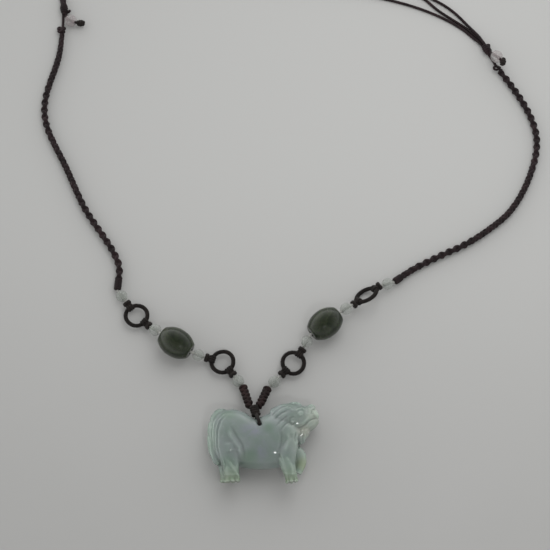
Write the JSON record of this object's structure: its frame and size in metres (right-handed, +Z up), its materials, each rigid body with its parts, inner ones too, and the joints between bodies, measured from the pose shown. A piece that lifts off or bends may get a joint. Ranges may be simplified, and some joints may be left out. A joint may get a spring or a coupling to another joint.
{
  "type": "jade qilin pendant necklace",
  "caption": "Carved pale jade qilin pendant on a knotted and braided cord necklace with round and barrel jade beads.",
  "frame": {"origin": "on the surface that the necklace lies on, under the middle of the pendant's ground-flat flank", "axes": "+X from the animal's tail to its head, +Y from its feet to its back and on to the closure, +Z up from the surface"},
  "size_m": [0.1885, 0.2098, 0.012],
  "materials": {
    "pale_jade": "polished translucent pale grey-green jade",
    "icy_jade": "polished icy jade, nearly colourless",
    "green_jade": "polished dark green jade",
    "knot_cord": "waxed dark red-brown knotting cord",
    "bead_thread": "pale thread",
    "braid_cord": "waxed dark wine-brown braided cord"
  },
  "bodies": {
    "root": {"arm_left": "knot_cord", "arm_right": "knot_cord", "barrel_bead_left": "green_jade", "barrel_bead_right": "green_jade", "bead_thread_1": "bead_thread", "bead_thread_2": "bead_thread", "bead_thread_3": "bead_thread", "bead_thread_4": "bead_thread", "bead_thread_5": "bead_thread", "bead_thread_6": "bead_thread", "braid_left": "braid_cord", "braid_right": "braid_cord", "closure_cord_inner": "braid_cord", "closure_cord_middle": "braid_cord", "closure_cord_outer": "braid_cord", "cord_ring_1": "knot_cord", "cord_ring_2": "knot_cord", "cord_ring_3": "knot_cord", "cord_ring_4": "knot_cord", "end_knot_left": "braid_cord", "end_knot_right": "braid_cord", "hanging_loop": "knot_cord", "hitch_1": "knot_cord", "hitch_2": "knot_cord", "hitch_3": "knot_cord", "hitch_4": "knot_cord", "hitch_5": "knot_cord", "hitch_6": "knot_cord", "hitch_7": "knot_cord", "hitch_8": "knot_cord", "loop_binding": "knot_cord", "pale_bead_1": "icy_jade", "pale_bead_2": "icy_jade", "pale_bead_3": "icy_jade", "pale_bead_4": "icy_jade", "pale_bead_5": "icy_jade", "pale_bead_6": "icy_jade", "pale_bead_7": "icy_jade", "pale_bead_8": "icy_jade", "qilin": "pale_jade", "slide_knot_left": "braid_cord", "slide_knot_right": "braid_cord", "stopper_left": "braid_cord", "stopper_right": "braid_cord", "tail_bead_left": "icy_jade", "tail_bead_right": "icy_jade", "whipping_left": "braid_cord", "whipping_right": "braid_cord"}
  },
  "joints": []
}
